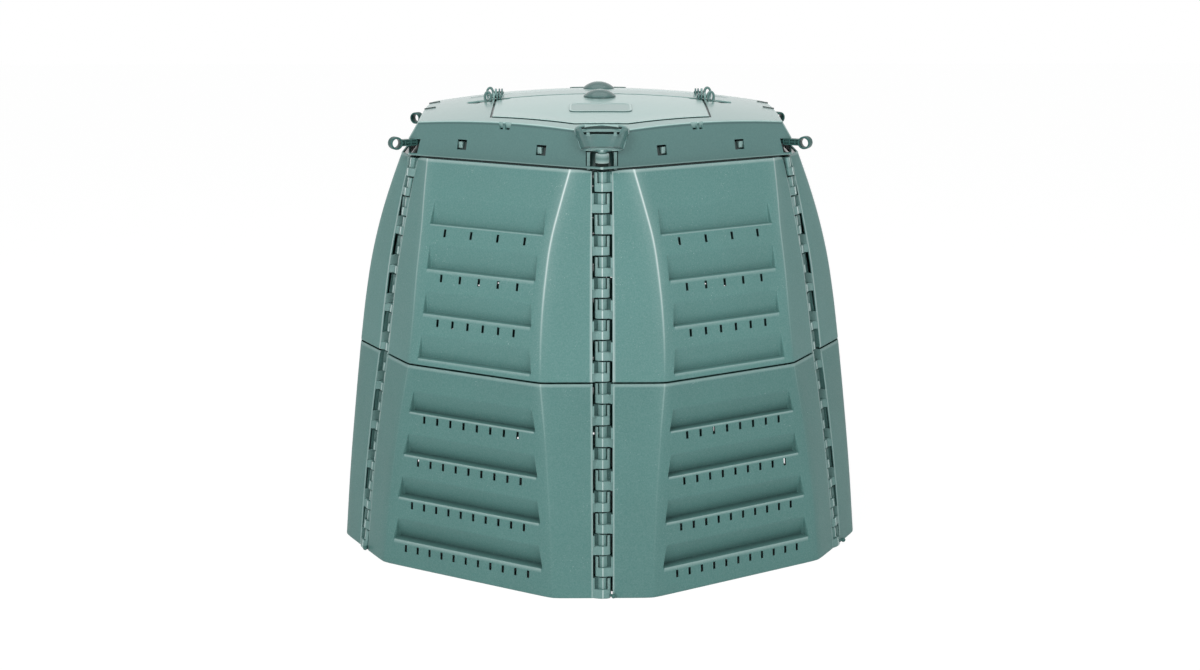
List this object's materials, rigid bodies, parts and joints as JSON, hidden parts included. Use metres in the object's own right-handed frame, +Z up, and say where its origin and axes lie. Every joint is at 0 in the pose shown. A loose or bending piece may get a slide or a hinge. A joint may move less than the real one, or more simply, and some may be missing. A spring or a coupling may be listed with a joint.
{
  "type": "compost bin with lid",
  "caption": "Six-sided tapered plastic compost bin of hinged louvred wall panels, open at the foot, with a crowned lid whose two filling flaps turn on ring pins.",
  "frame": {"origin": "on the ground, at the middle of the six-sided plan", "axes": "+Z up, -Y to the front corner, where the front flap's hand recess is, +X to the right side panel"},
  "size_m": [1.1718, 1.2536, 1.0065],
  "materials": {
    "lower_wall": "satin moulded polypropylene, grey-green, fine grained skin",
    "upper_wall": "satin moulded polypropylene, grey-green, fine grained skin",
    "lid": "satin moulded polypropylene, grey-green, smoother than the walls",
    "rod": "dark green plastic rod, slightly glossy",
    "pin": "glossy moulded green plastic"
  },
  "bodies": {
    "bin": {"lower_panel_front_right": "lower_wall", "lower_panel_right": "lower_wall", "lower_panel_rear_right": "lower_wall", "lower_panel_rear_left": "lower_wall", "lower_panel_left": "lower_wall", "lower_panel_front_left": "lower_wall", "upper_panel_front_right": "upper_wall", "upper_panel_right": "upper_wall", "upper_panel_rear_right": "upper_wall", "upper_panel_rear_left": "upper_wall", "upper_panel_left": "upper_wall", "upper_panel_front_left": "upper_wall", "hinge_rod_front": "rod", "hinge_rod_front_right": "rod", "hinge_rod_rear_right": "rod", "hinge_rod_rear": "rod", "hinge_rod_rear_left": "rod", "hinge_rod_front_left": "rod", "lid_frame": "lid"},
    "flap_front": {"flap_front": "lid"},
    "flap_rear": {"flap_rear": "lid"},
    "corner_pin_front": {"corner_pin_front": "pin"},
    "corner_pin_front_right": {"corner_pin_front_right": "pin"},
    "corner_pin_rear_right": {"corner_pin_rear_right": "pin"},
    "corner_pin_rear": {"corner_pin_rear": "pin"},
    "corner_pin_rear_left": {"corner_pin_rear_left": "pin"},
    "corner_pin_front_left": {"corner_pin_front_left": "pin"},
    "flap_pin_front_right": {"flap_pin_front_right": "pin"},
    "flap_pin_front_left": {"flap_pin_front_left": "pin"},
    "flap_pin_rear_right": {"flap_pin_rear_right": "pin"},
    "flap_pin_rear_left": {"flap_pin_rear_left": "pin"}
  },
  "joints": [
    {"name": "flap_front_hinge", "type": "hinge", "parent": "bin", "child": "flap_front", "pos_m": [0, -0.052, 0.9845], "axis": [-1, 0, 0], "range_deg": [0, 100]},
    {"name": "flap_rear_hinge", "type": "hinge", "parent": "bin", "child": "flap_rear", "pos_m": [0, 0.052, 0.9845], "axis": [1, 0, 0], "range_deg": [0, 100]},
    {"name": "corner_pin_front_pull", "type": "slide", "parent": "bin", "child": "corner_pin_front", "axis": [0, -1, 0], "range_m": [0, 0.055]},
    {"name": "corner_pin_front_right_pull", "type": "slide", "parent": "bin", "child": "corner_pin_front_right", "axis": [0.866, -0.5, 0], "range_m": [0, 0.055]},
    {"name": "corner_pin_rear_right_pull", "type": "slide", "parent": "bin", "child": "corner_pin_rear_right", "axis": [0.866, 0.5, 0], "range_m": [0, 0.055]},
    {"name": "corner_pin_rear_pull", "type": "slide", "parent": "bin", "child": "corner_pin_rear", "axis": [0, 1, 0], "range_m": [0, 0.055]},
    {"name": "corner_pin_rear_left_pull", "type": "slide", "parent": "bin", "child": "corner_pin_rear_left", "axis": [-0.866, 0.5, 0], "range_m": [0, 0.055]},
    {"name": "corner_pin_front_left_pull", "type": "slide", "parent": "bin", "child": "corner_pin_front_left", "axis": [-0.866, -0.5, 0], "range_m": [0, 0.055]},
    {"name": "flap_pin_front_right_pull", "type": "slide", "parent": "bin", "child": "flap_pin_front_right", "axis": [1, 0, 0], "range_m": [0, 0.024]},
    {"name": "flap_pin_front_left_pull", "type": "slide", "parent": "bin", "child": "flap_pin_front_left", "axis": [-1, 0, 0], "range_m": [0, 0.024]},
    {"name": "flap_pin_rear_right_pull", "type": "slide", "parent": "bin", "child": "flap_pin_rear_right", "axis": [1, 0, 0], "range_m": [0, 0.024]},
    {"name": "flap_pin_rear_left_pull", "type": "slide", "parent": "bin", "child": "flap_pin_rear_left", "axis": [-1, 0, 0], "range_m": [0, 0.024]}
  ]
}
